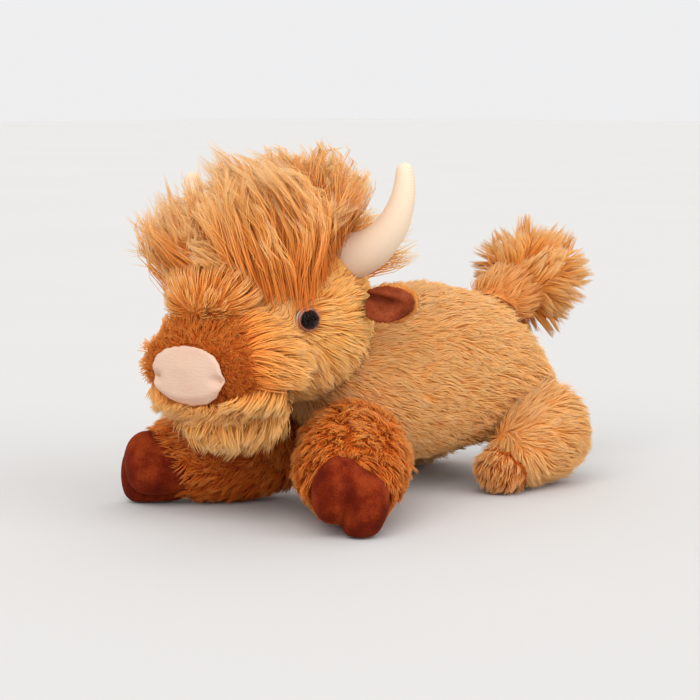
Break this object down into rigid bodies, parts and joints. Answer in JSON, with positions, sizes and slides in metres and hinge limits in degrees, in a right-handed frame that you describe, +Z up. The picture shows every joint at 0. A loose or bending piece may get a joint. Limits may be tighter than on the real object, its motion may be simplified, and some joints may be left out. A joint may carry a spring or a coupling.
{
  "type": "plush cow",
  "caption": "Long-haired plush cow standing low on splayed stuffed legs, with a mop of hair between its horns and head, ears, legs and tail that flex at sewn seams.",
  "frame": {"origin": "on the floor, at the bottom centre of the bounding box", "axes": "-Y is the way the cow faces, +X is the cow's own left, +Z is up"},
  "size_m": [0.2354, 0.398, 0.241],
  "materials": {
    "golden_fur": "long-pile faux fur, golden orange",
    "pale_fur": "long-pile faux fur with pale tips",
    "rusty_fur": "short curly faux fur, rusty brown",
    "brown_suede": "soft brown suede cloth",
    "pink_plush": "short pale pink plush",
    "cream_fabric": "fine ribbed cream fabric",
    "black_gloss": "glossy black",
    "brown_gloss": "glossy brown",
    "white_plastic": "plain white moulded plastic",
    "white_fibre": "white polyester fibre stuffing"
  },
  "bodies": {
    "torso": {"torso_skin": "golden_fur", "torso_stuffing": "white_fibre"},
    "head": {"head_skin": "golden_fur", "head_stuffing": "white_fibre", "muzzle_skin": "rusty_fur", "muzzle_stuffing": "white_fibre", "nose_patch": "pink_plush", "chin": "pale_fur", "brow_tuft": "rusty_fur", "forelock": "pale_fur", "horn_left": "cream_fabric", "horn_right": "cream_fabric", "eye_left_pupil": "black_gloss", "eye_left_rim": "brown_gloss", "eye_left_washer": "white_plastic", "eye_right_pupil": "black_gloss", "eye_right_rim": "brown_gloss", "eye_right_washer": "white_plastic"},
    "ear_left": {"ear_left_back": "golden_fur", "ear_left_lining": "brown_suede"},
    "ear_right": {"ear_right_back": "golden_fur", "ear_right_lining": "brown_suede"},
    "foreleg_left": {"foreleg_left_skin": "golden_fur", "foreleg_left_stuffing": "white_fibre", "foreleg_left_inner_toe": "brown_suede", "foreleg_left_outer_toe": "brown_suede"},
    "foreleg_right": {"foreleg_right_skin": "golden_fur", "foreleg_right_stuffing": "white_fibre", "foreleg_right_inner_toe": "brown_suede", "foreleg_right_outer_toe": "brown_suede"},
    "hind_leg_left": {"hind_leg_left_skin": "golden_fur", "hind_leg_left_stuffing": "white_fibre", "hind_leg_left_hoof": "brown_suede"},
    "hind_leg_right": {"hind_leg_right_skin": "golden_fur", "hind_leg_right_stuffing": "white_fibre", "hind_leg_right_hoof": "brown_suede"},
    "tail": {"tail": "golden_fur", "tail_tuft": "pale_fur"}
  },
  "joints": [
    {"name": "head_turn", "type": "hinge", "parent": "torso", "child": "head", "pos_m": [-0.01, -0.0511, 0.136], "axis": [0, 0, 1], "range_deg": [-9, 9], "stiffness_Nm_per_rad": 0.3},
    {"name": "ear_left_flick", "type": "hinge", "parent": "head", "child": "ear_left", "pos_m": [0.04477, -0.06818, 0.14087], "axis": [0, 0, 1], "range_deg": [-15, 15], "stiffness_Nm_per_rad": 0.02},
    {"name": "ear_right_flick", "type": "hinge", "parent": "head", "child": "ear_right", "pos_m": [-0.07054, -0.08441, 0.13483], "axis": [0, 0, 1], "range_deg": [-15, 15], "stiffness_Nm_per_rad": 0.02},
    {"name": "foreleg_left_splay", "type": "hinge", "parent": "torso", "child": "foreleg_left", "pos_m": [0.01232, -0.04958, 0.0425], "axis": [0, 0, 1], "range_deg": [-4, 14], "stiffness_Nm_per_rad": 0.5},
    {"name": "foreleg_right_splay", "type": "hinge", "parent": "torso", "child": "foreleg_right", "pos_m": [-0.03139, -0.05074, 0.0425], "axis": [0, 0, 1], "range_deg": [-14, 4], "stiffness_Nm_per_rad": 0.5},
    {"name": "hind_leg_left_splay", "type": "hinge", "parent": "torso", "child": "hind_leg_left", "pos_m": [0.03203, 0.09817, 0.0534], "axis": [0, 0, 1], "range_deg": [-8, 12], "stiffness_Nm_per_rad": 0.5},
    {"name": "hind_leg_right_splay", "type": "hinge", "parent": "torso", "child": "hind_leg_right", "pos_m": [-0.05202, 0.09817, 0.05341], "axis": [0, 0, 1], "range_deg": [-12, 8], "stiffness_Nm_per_rad": 0.5},
    {"name": "tail_wag", "type": "hinge", "parent": "torso", "child": "tail", "pos_m": [-0.01, 0.11559, 0.12365], "axis": [0, 0, 1], "range_deg": [-12, 12], "stiffness_Nm_per_rad": 0.15}
  ]
}
